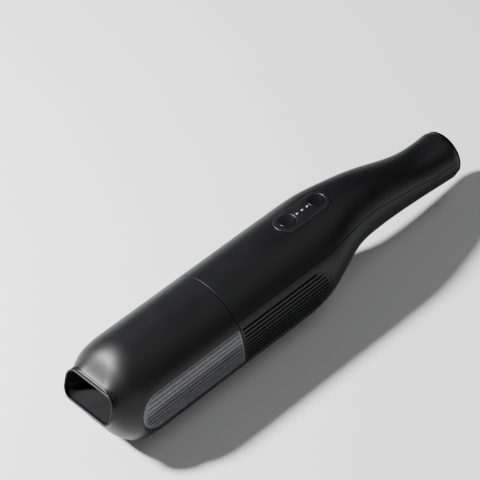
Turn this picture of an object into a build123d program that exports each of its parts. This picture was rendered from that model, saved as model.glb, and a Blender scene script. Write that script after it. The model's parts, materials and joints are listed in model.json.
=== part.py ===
from build123d import *
import math
import os

# Handheld vacuum. Everything is drawn about the body axis: X runs forward along it from the seam between
# dust cup and housing, Y to the left, Z up. At export PLACE moves it so that the origin is the bottom
# centre of the whole vacuum.

# ---------------------------------------------------------------- driving dimensions, mm
BODY_RADIUS = 38.0          # round body, before its sides and belly are flattened
SIDE_HALF = 35.8            # half the width across the flattened sides
SIDE_RADIUS = 64.0          # radius of the gently bulging sides
BELLY = 36.8                # axis to the flat strip that the vacuum rests on
STRAIGHT_FRONT = 60.0       # end of the straight part of the dust cup
STRAIGHT_REAR = -58.0       # end of the straight part of the housing
FRONT_TIP = 113.2           # lower lip of the nozzle
REAR_TIP = -234.8           # butt of the handle
WALL = 2.2                  # moulded shells
SEAM = 0.2                  # half the gap between cup and housing
CLEAR = 0.3                 # gap between pieces that move past each other

WINDOW_HALF = 14.6          # half the height of the side windows and exhaust grilles
WINDOW_ARC_X = 76.2         # centre of the window's round front end
GRILLE_ARC_X = -68.3        # centre of the grille's round rear end
WINDOW_RECESS = 0.3         # windows and grilles lie this far below the shell's skin
SIDE_ZONE = (29.0, 60.0)    # Y range of the cutters for windows and grilles
SLOTS = 9                   # flutes in each window and slots in each grille, in line with each other
SLOT_PITCH = 3.3
SLOT_WIDTH = 1.3
SLOT_MARGIN = 2.4           # from the round end of a window or grille to the end of a slot
SEAM_MARGIN = 1.8           # from the seam to the end of a slot
PANE = 1.1                  # window's thickness at the bottom of a flute

MOUTH_LEAN = 23.9           # the mouth leans back by this angle, its lower lip forward
MOUTH_X, MOUTH_Z = 108.3, 12.7
MOUTH_HALF_WIDTH, MOUTH_HALF_HEIGHT, MOUTH_CORNER = 25.5, 12.1, 9.1
LIP = 1.6                   # thickness of the nozzle's lip
LIP_DROP = 1.2              # from the lip's outer edge down to the passage, measured upright
PAST_LIP = 1.2              # the passage's cutter runs this far out of the mouth
DUCT_WALL = 1.5
DUCT_REAR = 72.0            # inner end of the inlet duct

FLAP_AXIS = (69.4, 25.2)    # X and Z of the flap's hinge
LUG_INNER, LUG_OUTER = 20.0, 22.0    # the two lugs that hold the hinge pin, either side of the middle
PIN_RADIUS = 1.0
RUNNING = 0.05              # radial clearance of shafts and pins

COLLAR_REACH = 12.5         # how far the pale collar reaches into the cup
PLATE_FRONT, PLATE_REAR = -3.0, -6.0
INTAKE_RADIUS = 17.0
FILTER_FRONT = 44.0
FILTER_RADIUS = 26.0
CAP = 2.0                   # thickness of the disc that closes the filter's front
FLANGE_RADIUS = 29.5
CAGE_BARS = 8
PLEATS = 36

SHROUD_RADIUS, SHROUD_WALL = 27.0, 1.8
SHROUD_REAR = -27.5
IMPELLER_RADIUS = 23.0
BLADES = 11
MOTOR_RADIUS = 17.0
MOTOR_FRONT, MOTOR_REAR = -28.0, -60.0
CARRIER_RADIUS = 24.0
MOUNT_RADIUS = 22.0         # the two rubber rings between carrier and motor
SHAFT_RADIUS = 1.5

FRONT_BUTTON_X, REAR_BUTTON_X = -79.6, -107.3
BUTTON_RADIUS = 6.0
PAD_X, PAD_LENGTH, PAD_WIDTH = -93.0, 47.8, 21.0
PAD_PROUD = 0.6
LED_XS = (-89.0, -93.85, -98.7)
LED_RADIUS = 0.9

CELL_RADIUS, CELL_LENGTH = 9.1, 65.0
CELL_FRONT = -99.0
CELL_Z = 6.0
PORT_Z = -3.0
SCREW_SPOTS = ((-75.0, 24.0), (-75.0, -24.0), (-172.0, 0.0), (-206.0, 0.0))

PLACE = Location((-(FRONT_TIP + REAR_TIP) / 2, 0, BELLY))
POINTS_PER_QUARTER = 14

# Front dome and snout: top edge (x, z), bottom edge (x, z), half width, corner radius.
LEAN_SIN, LEAN_COS = math.sin(math.radians(MOUTH_LEAN)), math.cos(math.radians(MOUTH_LEAN))
MOUTH = (
    MOUTH_X - MOUTH_HALF_HEIGHT * LEAN_SIN, MOUTH_Z + MOUTH_HALF_HEIGHT * LEAN_COS,
    MOUTH_X + MOUTH_HALF_HEIGHT * LEAN_SIN, MOUTH_Z - MOUTH_HALF_HEIGHT * LEAN_COS,
    MOUTH_HALF_WIDTH, MOUTH_CORNER,
)
DOME = [
    (STRAIGHT_FRONT, 38.0, STRAIGHT_FRONT, -38.0, 38.0, 38.0),
    (69.0, 38.0, 69.0, -38.0, 38.0, 38.0),
    (77.0, 37.3, 78.0, -37.8, 37.9, 37.5),
    (84.0, 34.6, 86.5, -36.3, 37.4, 35.3),
    (89.5, 31.4, 94.0, -32.2, 35.7, 31.5),
    (93.8, 28.8, 100.0, -25.8, 32.7, 27.0),
    (97.0, 27.0, 104.4, -18.2, 30.0, 22.3),
    (99.3, 25.6, 107.4, -10.5, 27.9, 17.9),
    (101.0, 24.6, 109.6, -4.2, 26.4, 14.0),
    (102.3, 24.0, 111.4, 0.0, 25.4, 11.0),
    MOUTH,
]
CAVITY_STATIONS = 7         # the dust chamber follows this many of the dome's stations

# Housing and handle: x, top, bottom, half width.
HANDLE = [
    (STRAIGHT_REAR, 38.0, -38.0, 38.0),
    (-67.0, 38.0, -37.8, 37.9),
    (-77.0, 38.1, -36.4, 37.3),
    (-88.0, 38.2, -32.4, 36.2),
    (-99.0, 38.2, -25.2, 34.0),
    (-111.0, 38.1, -18.2, 30.8),
    (-125.0, 37.6, -14.8, 27.0),
    (-140.0, 35.4, -14.5, 24.3),
    (-155.0, 31.4, -15.3, 22.3),
    (-170.0, 26.2, -16.7, 20.6),
    (-185.0, 20.9, -18.5, 19.2),
    (-200.0, 17.2, -20.2, 18.4),
    (-213.0, 16.0, -21.6, 18.4),
    (-223.0, 16.1, -22.4, 18.8),
    (-229.5, 15.4, -21.8, 18.2),
    (-233.2, 13.0, -19.4, 15.8),
    (REAR_TIP, 8.8, -15.2, 11.6),
]
# Parting line between the upper and lower housing shells, from the seam back to the butt.
PARTING = [(5.0, 20.2), (-85.0, 20.2), (-111.0, 20.6), (-142.0, 17.6), (-175.0, 8.5), (-205.0, 0.4),
           (-240.0, -0.6)]


# ---------------------------------------------------------------- drawing helpers
def quarter_point(half_width, half_height, corner, part):
    """Point at a given part of the way, 0 to 1, from the side of a rounded rectangle to its top."""
    rise, bend, run = half_height - corner, corner * math.pi / 2, half_width - corner
    along = part * (rise + bend + run)
    if along <= rise:
        return half_width, along
    if along <= rise + bend:
        turn = (along - rise) / corner
        return run + corner * math.cos(turn), rise + corner * math.sin(turn)
    return run - (along - rise - bend), half_height


def squeezed(y, z, inset):
    """A point of an outline, moved in to the flattened side where it lies outside it."""
    held = min(z * z, BODY_RADIUS ** 2)
    side = math.sqrt((SIDE_RADIUS - inset) ** 2 - held) - (SIDE_RADIUS - SIDE_HALF)
    return max(-side, min(side, y)), z


def outline(station, inset=0.0):
    """Closed smooth wire of one station, a leaning and squeezed rounded rectangle, made smaller by inset."""
    top_x, top_z, bottom_x, bottom_z, half_width, corner = station
    reach = math.hypot(top_x - bottom_x, top_z - bottom_z) / 2
    lean_x, lean_z = (top_x - bottom_x) / (2 * reach), (top_z - bottom_z) / (2 * reach)
    width, height = half_width - inset, reach - inset
    radius = min(max(corner - inset, 1.0), width, height)
    points = []
    for quarter, (side, up) in enumerate(((1, 1), (-1, 1), (-1, -1), (1, -1))):
        for step in range(POINTS_PER_QUARTER):
            part = step / POINTS_PER_QUARTER
            y, z = quarter_point(width, height, radius, part if quarter % 2 == 0 else 1 - part)
            x = (top_x + bottom_x) / 2 + up * z * lean_x
            y, z = squeezed(side * y, (top_z + bottom_z) / 2 + up * z * lean_z, inset)
            points.append(Vector(x, y, z))
    return Wire([Edge.make_spline(points, periodic=True)])


def lofted(stations, inset=0.0):
    return Solid.make_loft([outline(station, inset) for station in stations])


def rod_x(radius, start, end, y=0.0, z=0.0):
    """Cylinder along X from start to end."""
    return Location(((start + end) / 2, y, z)) * Cylinder(radius, abs(end - start), rotation=(0, 90, 0))


def tube_x(outer, inner, start, end):
    return rod_x(outer, start, end) - rod_x(inner, start - 1, end + 1)


def rod_z(radius, low, high, x, y=0.0):
    return Location((x, y, (low + high) / 2)) * Cylinder(radius, high - low)


def block(x0, x1, y0, y1, z0, z1):
    """Box between two corners."""
    middle = Location(((x0 + x1) / 2, (y0 + y1) / 2, (z0 + z1) / 2))
    return middle * Box(abs(x1 - x0), abs(y1 - y0), abs(z1 - z0))


def pill_z(length, width, low, high, x):
    """Upright pill-shaped block, long way along X."""
    shape = extrude(SlotOverall(length, width), amount=high - low)
    return Location((x, 0, low)) * shape


def stadium_y(arc_x, end_x, half):
    """Cutter for the left side, with a round end at arc_x and a square end at end_x."""
    y0, y1 = SIDE_ZONE
    flat = block(min(arc_x, end_x), max(arc_x, end_x), y0, y1, -half, half)
    disc = Location((arc_x, (y0 + y1) / 2, 0)) * Cylinder(half, abs(y1 - y0), rotation=(90, 0, 0))
    return flat + disc


def slots(arc_x):
    """Round-ended cutters through the left side, from near the seam to near the round end at arc_x."""
    toward = math.copysign(1, arc_x)
    near = toward * (SEAM_MARGIN + SLOT_WIDTH / 2)
    cutters = []
    for index in range(SLOTS):
        z = (index - (SLOTS - 1) / 2) * SLOT_PITCH
        reach = math.sqrt(WINDOW_HALF ** 2 - z ** 2) - SLOT_MARGIN - SLOT_WIDTH / 2
        cutter = stadium_y(arc_x + toward * reach, near, SLOT_WIDTH / 2)
        front = Location((near, sum(SIDE_ZONE) / 2, 0)) * Cylinder(
            SLOT_WIDTH / 2, SIDE_ZONE[1] - SIDE_ZONE[0], rotation=(90, 0, 0))
        cutters.append(Location((0, 0, z)) * (cutter + front))
    return cutters


def mirrored(shape):
    return mirror(shape, about=Plane.XZ)


def side_plate(skin, inside):
    """Curved plate of the left side's form between two insets."""
    offset = SIDE_RADIUS - SIDE_HALF
    return rod_x(SIDE_RADIUS - skin, -95, 105, -offset) - rod_x(SIDE_RADIUS - inside, -96, 106, -offset)


def on_belly(shape, inset):
    """The shape with its underside cut flat."""
    return shape - block(REAR_TIP - 10, FRONT_TIP + 10, -60, 60, -60, inset - BELLY)


def straight(inset, start, end):
    """Straight stretch of the body's outline, made smaller by inset."""
    station = (start, BODY_RADIUS, start, -BODY_RADIUS, BODY_RADIUS, BODY_RADIUS)
    along = (math.copysign(1, end - start), 0, 0)
    return extrude(make_face(outline(station, inset)), amount=abs(end - start), dir=along)


def body_section(inset, start, end):
    """Straight stretch of the body, flat belly included."""
    return on_belly(straight(inset, start, end), inset)


def cup_solid(inset, stations=len(DOME), start=SEAM):
    """The dust cup's outer form, or the space inside it, as one block."""
    return on_belly(straight(inset, start, STRAIGHT_FRONT) + lofted(DOME[:stations], inset), inset)


def housing_solid(inset, start=-SEAM):
    """The housing's outer form, or the space inside it, as one block."""
    stations = []
    for x, top, bottom, half_width in HANDLE[:len(HANDLE) - (inset > 0)]:
        held = max(x, REAR_TIP + inset)
        stations.append((held, top, held, bottom, half_width, min(half_width, (top - bottom) / 2)))
    return on_belly(straight(inset, start, STRAIGHT_REAR) + lofted(stations, inset), inset)


def save(node, *shapes):
    """Writes the node's solids to parts/node.step in the vacuum's own frame."""
    solids = [solid for shape in shapes for solid in shape.solids()]
    export_step(PLACE * Compound(children=solids), f"parts/{node}.step")
    print(f"{node}: {len(solids)} solids, {sum(solid.volume for solid in solids):.0f} mm3")


# ---------------------------------------------------------------- dust cup
def passage(grow):
    """Space inside the inlet duct, from the dust chamber out through the mouth."""
    front = (MOUTH[0] + PAST_LIP, MOUTH[1] - LIP_DROP, MOUTH[2] + PAST_LIP, MOUTH[3] + LIP_DROP,
             MOUTH_HALF_WIDTH - LIP, 7.7)
    return lofted([(66.0, 21.5, 66.0, 2.5, 20.0, 7.5), (86.0, 21.9, 89.0, 2.8, 21.4, 7.6), front], -grow)


def duct_reach(back):
    """Everything behind a plane parallel to the mouth, which lies back mm behind it."""
    half = Location((-100, 0, 0)) * Box(200, 120, 160)
    return Location((MOUTH_X - back, 0, MOUTH_Z), (0, -MOUTH_LEAN, 0)) * half


def dust_cup():
    outer = cup_solid(0)
    chamber = cup_solid(WALL, CAVITY_STATIONS, -1)
    throat = passage(DUCT_WALL + 0.1) & duct_reach(3.0)
    shell = outer - chamber - throat - passage(0)
    window_zone = stadium_y(WINDOW_ARC_X, -1, WINDOW_HALF)
    shell = shell - window_zone - mirrored(window_zone)
    save("cup_shell", shell)

    pane = side_plate(WINDOW_RECESS, WALL - 0.1) & stadium_y(WINDOW_ARC_X, SEAM, WINDOW_HALF - 0.1)
    flutes = side_plate(WINDOW_RECESS + PANE, WALL + 1)
    for slot in slots(WINDOW_ARC_X):
        pane = pane - (flutes & slot)
    save("window_left", pane)
    save("window_right", mirrored(pane))

    duct = (passage(DUCT_WALL) & duct_reach(3.1)) & block(DUCT_REAR, 120, -40, 40, -20, 40)
    flange = block(DUCT_REAR, DUCT_REAR + 3, -23.5, 23.5, -2, 26)
    lug = block(DUCT_REAR - 5.2, DUCT_REAR, LUG_INNER, LUG_OUTER, 21.5, 27.4)
    flange = flange + block(DUCT_REAR, DUCT_REAR + 3, -LUG_OUTER, LUG_OUTER, 25, 27.4)
    duct = duct + flange + lug + mirrored(lug) - passage(0) - hinge_rod(PIN_RADIUS, 2 * BODY_RADIUS)
    save("inlet_duct", duct)
    save("flap_pin", hinge_rod(PIN_RADIUS, 2 * LUG_OUTER))


def hinge_rod(radius, length):
    """Cylinder about the flap's axis."""
    return Location((FLAP_AXIS[0], 0, FLAP_AXIS[1])) * Cylinder(radius, length, rotation=(90, 0, 0))


def flap():
    axis_x, axis_z = FLAP_AXIS
    neck_half = LUG_INNER - 0.5
    barrel = hinge_rod(2.2, 2 * neck_half)
    plate = block(axis_x + 0.7, axis_x + 1.9, -20.8, 20.8, 1.4, 18.4)
    neck = block(axis_x + 0.7, axis_x + 1.9, -neck_half, neck_half, 18, axis_z)
    bore = hinge_rod(PIN_RADIUS + RUNNING, 2 * BODY_RADIUS)
    lower_corners = plate.edges().filter_by(Axis.X).group_by(Axis.Z)[0]
    save("inlet_flap", fillet(lower_corners, 7.0) + neck + barrel - bore)


# ---------------------------------------------------------------- filter
def filter_unit():
    flange = tube_x(FLANGE_RADIUS, 19.0, PLATE_FRONT + 0.4, 0.5)
    cage = tube_x(FILTER_RADIUS, FILTER_RADIUS - 1.6, 0.5, FILTER_FRONT - CAP)
    gap = FILTER_RADIUS * math.pi / CAGE_BARS - 1.6
    for index in range(CAGE_BARS):
        cage = cage - Rot(index * 360 / CAGE_BARS, 0, 0) * block(4, FILTER_FRONT - 5, 15, 35, -gap, gap)
    frame = flange + cage
    cap = rod_x(FILTER_RADIUS, FILTER_FRONT - CAP, FILTER_FRONT)
    save("filter_cap", fillet(cap.edges().group_by(Axis.X)[-1], 1.2))
    seal_groove = tube_x(28.0, 26.4, PLATE_FRONT, PLATE_FRONT + 1.4)
    save("filter_frame", frame - seal_groove)
    save("filter_seal", tube_x(28.0, 26.4, PLATE_FRONT + 0.35, PLATE_FRONT + 1.4))

    crest, root = FILTER_RADIUS - 1.8, 18.5
    star = []
    for index in range(PLEATS * 2):
        angle = math.pi * index / PLEATS
        radius = crest if index % 2 == 0 else root
        star.append((radius * math.cos(angle), radius * math.sin(angle)))
    paper_inner = 0.93
    outer = Face(Wire.make_polygon([(0.5, y, z) for y, z in star], close=True))
    inner = Face(Wire.make_polygon([(0.5, y * paper_inner, z * paper_inner) for y, z in star], close=True))
    length = FILTER_FRONT - CAP - 0.5
    pleats = extrude(outer, amount=length, dir=(1, 0, 0)) - extrude(inner, amount=length, dir=(1, 0, 0))
    save("filter_pleats", pleats)

    screen = tube_x(FILTER_RADIUS + 0.7, FILTER_RADIUS + 0.1, 1.0, FILTER_FRONT - 2.5)
    slot = block(5, FILTER_FRONT - 6, 20, 30, -1.1, 1.1)
    for index in range(24):
        screen = screen - Rot((index + 0.5) * 15, 0, 0) * slot
    save("filter_screen", screen)


# ---------------------------------------------------------------- housing shells
def parting_block():
    """Everything above the parting line."""
    corners = PARTING + [(PARTING[-1][0], 60), (PARTING[0][0], 60)]
    return extrude(Plane.XZ * make_face(Polyline(*corners, close=True)), amount=60, both=True)


def parting_height(x):
    """Height of the parting line at x."""
    for (x0, z0), (x1, z1) in zip(PARTING, PARTING[1:]):
        if x1 <= x <= x0:
            return z0 + (z1 - z0) * (x0 - x) / (x0 - x1)
    return PARTING[-1][1]


def housing():
    inner = housing_solid(WALL, 1)
    shells = housing_solid(0) - inner
    front_rib = body_section(WALL, SHROUD_REAR + 2, SHROUD_REAR) - rod_x(SHROUD_RADIUS, -40, 0)
    rear_rib = (inner & block(-62, -60, -60, 60, -60, 60)) - rod_x(CARRIER_RADIUS, -80, 0)
    rear_rib = rear_rib - block(-70, -50, -8, 8, 20, 60)
    rib_gap = block(-70, 0, 28, 60, -WINDOW_HALF - 0.5, WINDOW_HALF + 0.5)
    ribs = front_rib + rear_rib - rib_gap - mirrored(rib_gap)
    shells = shells + ribs

    for x, y in SCREW_SPOTS:
        shells = shells + (rod_z(3.4, -60, 60, x, y) & inner)

    grille_zone = stadium_y(GRILLE_ARC_X, 1, WINDOW_HALF)
    shells = shells - grille_zone - mirrored(grille_zone)

    above = parting_block()
    upper, lower = shells & above, shells - above
    port_hole = port_block(0.0, REAR_TIP - 5, REAR_TIP + 12)
    upper, lower = upper - port_hole, lower - port_hole

    pad_hole = pill_z(PAD_LENGTH + 2 * CLEAR, PAD_WIDTH + 2 * CLEAR, 20, 60, PAD_X)
    upper = upper - pad_hole
    screws = []
    for x, y in SCREW_SPOTS:
        joint_z = parting_height(x)
        seat = joint_z - 9.0
        lower = lower - rod_z(2.8, -60, seat, x, y) - rod_z(1.5, seat - 1, joint_z + 1, x, y)
        upper = upper - rod_z(1.2, joint_z - 1, joint_z + 7, x, y)
        head = rod_z(2.4, seat - 1.8, seat, x, y) - rod_z(0.9, seat - 2, seat - 0.9, x, y)
        screws.append(head + rod_z(1.2, seat, joint_z + 6.5, x, y))
    save("housing_upper", upper)
    save("housing_lower", lower)
    save("housing_screws", *screws)


def grilles():
    grille = side_plate(WINDOW_RECESS, WALL) & stadium_y(GRILLE_ARC_X, -SEAM, WINDOW_HALF - 0.1)
    for slot in slots(GRILLE_ARC_X):
        grille = grille - slot
    save("grille_left", grille)
    save("grille_right", mirrored(grille))
    foam = block(-58, -30, 29.8, 31.8, -13, 13)
    save("exhaust_foam", foam, mirrored(foam))


def port_block(grow, start, end):
    """Pill-shaped plug around the charging port."""
    shape = extrude(SlotOverall(15 + 2 * grow, 8 + 2 * grow), amount=end - start)
    return Location((start, 0, PORT_Z)) * (Rot(0, 90, 0) * (Rot(0, 0, 90) * shape))


def tail():
    bezel = port_block(-0.05, REAR_TIP - 0.1, REAR_TIP + 6)
    slot = Location((REAR_TIP + 3, 0, PORT_Z)) * Box(20, 9.0, 3.2)
    slot = fillet(slot.edges().filter_by(Axis.X), 1.55)
    save("port_bezel", bezel - slot)

    can = Location((REAR_TIP + 4.4, 0, PORT_Z)) * Box(7.4, 8.9, 3.1)
    can = fillet(can.edges().filter_by(Axis.X), 1.5)
    hollow = Location((REAR_TIP + 3.9, 0, PORT_Z)) * Box(7.4, 8.3, 2.5)
    hollow = fillet(hollow.edges().filter_by(Axis.X), 1.2)
    tongue = block(REAR_TIP + 2.2, REAR_TIP + 8.0, -3.3, 3.3, PORT_Z - 0.35, PORT_Z + 0.35)
    save("usb_socket", can - hollow + tongue)
    board = block(REAR_TIP + 8.1, REAR_TIP + 22, -7, 7, PORT_Z - 0.6, PORT_Z + 0.6)
    chip = block(REAR_TIP + 12, REAR_TIP + 16, -2, 2, PORT_Z + 0.6, PORT_Z + 1.5)
    plug = block(REAR_TIP + 17, REAR_TIP + 21, -3, 3, PORT_Z + 0.6, PORT_Z + 3.6)
    save("charge_board", board + chip + plug)


# ---------------------------------------------------------------- bulkhead, fan and motor
def bulkhead():
    plate = body_section(WALL, PLATE_REAR, PLATE_FRONT) - rod_x(INTAKE_RADIUS, -10, 0)
    outer_gap, ring = WALL + 0.6, 2.4
    collar = body_section(outer_gap, PLATE_FRONT, COLLAR_REACH)
    collar = collar - body_section(outer_gap + ring, PLATE_REAR, COLLAR_REACH + 1)
    groove = body_section(WALL, 3, 5) - body_section(WALL + 1.6, 2, 6)
    save("motor_bulkhead", plate + collar - groove)
    save("cup_seal", body_section(WALL + CLEAR, 3, 5) - body_section(WALL + 1.6, 2, 6))

    guard = tube_x(INTAKE_RADIUS, 15.4, -5.5, -3.5)
    guard = guard + tube_x(11, 9.8, -5.5, -4.0) + tube_x(5, 3.6, -5.5, -4.0)
    for index in range(6):
        guard = guard + Rot(index * 60, 0, 0) * block(-5.5, -4.0, 4.2, 16, -0.6, 0.6)
    save("intake_guard", guard)


def fan_case():
    shroud = rod_x(SHROUD_RADIUS, SHROUD_REAR, PLATE_REAR)
    shroud = shroud - rod_x(SHROUD_RADIUS - SHROUD_WALL, SHROUD_REAR - 1, -8) - rod_x(15, -10, 0)
    save("fan_shroud", shroud)

    disc = rod_x(SHROUD_RADIUS - SHROUD_WALL, SHROUD_REAR, SHROUD_REAR + 1.6) - rod_x(4.0, -40, 0)
    vent = block(-40, 0, 17.5, 24.2, -3.6, 3.6)
    for index in range(9):
        disc = disc - Rot(index * 40, 0, 0) * vent
    save("fan_diffuser", disc)

    carrier = tube_x(CARRIER_RADIUS, MOUNT_RADIUS, -62, SHROUD_REAR)
    carrier = carrier + tube_x(SHROUD_RADIUS, MOUNT_RADIUS, SHROUD_REAR - 1.5, SHROUD_REAR)
    for index in range(4):
        carrier = carrier - Rot(45 + index * 90, 0, 0) * block(-54, -35, 10, 30, -11, 11)
    save("motor_carrier", carrier)
    mount = tube_x(MOUNT_RADIUS, MOTOR_RADIUS, -34, -29.5)
    save("motor_mount_front", mount)
    save("motor_mount_rear", Location((-26, 0, 0)) * mount)


def motor():
    can = rod_x(MOTOR_RADIUS, MOTOR_REAR, MOTOR_FRONT)
    can = can - rod_x(MOTOR_RADIUS - 1, MOTOR_REAR + 1.2, MOTOR_FRONT - 1.2) - rod_x(4, -70, 0)
    for index in range(6):
        can = can - Rot(index * 60, 0, 0) * rod_x(2.2, -70, 0, y=10.5)
    save("motor_can", can)

    core = tube_x(MOTOR_RADIUS - 1, 13.2, -53, -35)
    tooth = block(-53, -35, 9.3, 14, -1.6, 1.6)
    coil = block(-54.5, -33.5, 9.9, 12.6, -3.3, 3.3) - block(-53.05, -34.95, 9, 14, -1.65, 1.65)
    coils = []
    for index in range(6):
        core = core + Rot(index * 60, 0, 0) * tooth
        coils.append(Rot(index * 60, 0, 0) * coil)
    save("stator_core", core - rod_x(9.3, -70, 0))
    save("stator_coils", *coils)

    bearing = tube_x(4, SHAFT_RADIUS + RUNNING, -31.5, SHROUD_REAR)
    save("motor_bearing_front", bearing)
    save("motor_bearing_rear", Location((-28.5, 0, 0)) * tube_x(4, SHAFT_RADIUS + RUNNING, -33.0, -29.5))
    save("motor_shaft", rod_x(SHAFT_RADIUS, -63.5, -8.6))
    save("rotor_magnet", tube_x(8.5, SHAFT_RADIUS, -54, -34))


def impeller():
    back = rod_x(IMPELLER_RADIUS, -24.5, -23)
    hub = Location((-17.5, 0, 0)) * Cone(6.5, 4.2, 13, rotation=(0, 90, 0))
    wheel = back + hub
    blade = extrude(Plane.YZ.offset(-23) * blade_face(), amount=11)
    for index in range(BLADES):
        wheel = wheel + Rot(index * 360 / BLADES, 0, 0) * blade
    save("impeller", wheel - rod_x(SHAFT_RADIUS, -40, 0))
    nut = extrude(Plane.YZ.offset(-11) * RegularPolygon(3.2, 6), amount=2.2) - rod_x(SHAFT_RADIUS, -40, 0)
    save("impeller_nut", nut)


def blade_face():
    """Swept-back blade seen along the shaft: two arcs, one blade thickness apart."""
    inner = ThreePointArc((5.4, 0), (14.0, 3.2), (21.2, 8.0))
    outer = ThreePointArc((20.6, 8.9), (13.4, 4.3), (5.4, 1.2))
    return make_face([inner, Line((21.2, 8.0), (20.6, 8.9)), outer, Line((5.4, 1.2), (5.4, 0))])


# ---------------------------------------------------------------- controls
def controls():
    crown = rod_x(BODY_RADIUS + PAD_PROUD, -150, -50)
    pad = pill_z(PAD_LENGTH, PAD_WIDTH, 34.6, 45, PAD_X) & crown
    skirt = pill_z(PAD_LENGTH + 3.2, PAD_WIDTH + 3.0, 33.2, 36.2, PAD_X)
    skirt = skirt & rod_x(BODY_RADIUS - WALL - 0.25, -150, -50)
    pocket = pill_z(PAD_LENGTH - 3.8, PAD_WIDTH - 4.0, 30, 34.6, PAD_X)
    pad = pad + skirt - pocket
    for x in (PAD_X - 17, PAD_X + 17):
        for y in (-9.4, 9.4):
            pad = pad + rod_z(1.1, 31.6, 33.3, x, y)
    for x in (FRONT_BUTTON_X, REAR_BUTTON_X):
        pad = pad - rod_z(BUTTON_RADIUS + CLEAR, 30, 50, x)
    guides = []
    for x in LED_XS:
        pad = pad - rod_z(LED_RADIUS, 30, 50, x)
        guides.append(rod_z(LED_RADIUS, 32.6, 45, x) & crown)
    save("control_pad", pad)
    save("led_light_guides", *guides)

    for node, x in (("power_button", FRONT_BUTTON_X), ("mode_button", REAR_BUTTON_X)):
        cap = rod_z(BUTTON_RADIUS, 33.4, BODY_RADIUS + 0.5, x) + rod_z(BUTTON_RADIUS + 1.0, 33.4, 34.3, x)
        dish = Location((x, 0, BODY_RADIUS + 22.6)) * Sphere(23.0)
        cap = cap - dish
        save(node, cap & rod_x(BODY_RADIUS + 0.45, -150, -50))

    board = block(PAD_X - 22.5, PAD_X + 22.5, -10.6, 10.6, 30.4, 31.6)
    switches = []
    for x in (FRONT_BUTTON_X, REAR_BUTTON_X):
        switches.append(block(x - 3, x + 3, -3, 3, 31.6, 32.0) + rod_z(1.6, 32.0, 32.25, x))
    for x in LED_XS:
        switches.append(block(x - 0.8, x + 0.8, -0.5, 0.5, 31.6, 32.3))
    save("button_board", board)
    save("tact_switches", *switches[:2])
    save("status_leds", *switches[2:])


def main_board():
    board = block(-118, -66, -13, 13, 22.4, 24.0)
    chips = [
        block(-84, -77, -3.5, 3.5, 24, 25.2), block(-100, -94, 3, 9, 24, 26.6),
        block(-116, -110, -9, -1, 24, 28.0), block(-72, -68, -6, 6, 24, 28.5),
        rod_z(3.0, 24, 29.2, -90, -7), rod_z(3.0, 24, 29.2, -104, -7),
    ]
    for chip in chips:
        board = board + chip
    for x in (-114, -70):
        for y in (-10.5, 10.5):
            board = board + rod_z(1.4, 24.0, 30.4, x, y)
    save("main_board", board)


def battery():
    front, rear = CELL_FRONT, CELL_FRONT - CELL_LENGTH
    for node, side in (("battery_cell_left", 1), ("battery_cell_right", -1)):
        cell = rod_x(CELL_RADIUS, rear, front, y=side * (CELL_RADIUS + 0.1), z=CELL_Z)
        nub = rod_x(2.6, front, front + 0.8, y=side * (CELL_RADIUS + 0.1), z=CELL_Z)
        save(node, fillet(cell.edges(), 0.8) + nub)
    cradle = block(rear - 1.6, front + 2.4, -12.5, 12.5, -6.0, -3.6)
    cradle = cradle + block(front + 1.0, front + 2.4, -15, 15, -6, 12)
    cradle = cradle + block(rear - 1.6, rear - 0.2, -12.5, 12.5, -6, 12)
    cradle = cradle + block(rear, front, -1.4, 1.4, -4, 0)
    inner = housing_solid(WALL)
    for x in (front - 8, rear + 8):
        cradle = cradle + (block(x - 1.2, x + 1.2, -12, 12, -40, -5) & inner)
    for side in (-1, 1):
        cradle = cradle - rod_x(CELL_RADIUS + 0.1, rear - 0.1, front + 0.9, y=side * (CELL_RADIUS + 0.1), z=CELL_Z)
    save("battery_cradle", cradle)


os.makedirs("parts", exist_ok=True)
dust_cup()
flap()
filter_unit()
housing()
grilles()
tail()
bulkhead()
fan_case()
motor()
impeller()
controls()
main_board()
battery()
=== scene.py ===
import json
import math

import bmesh
import bpy
import numpy as np
from mathutils import Matrix, Vector

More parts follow.
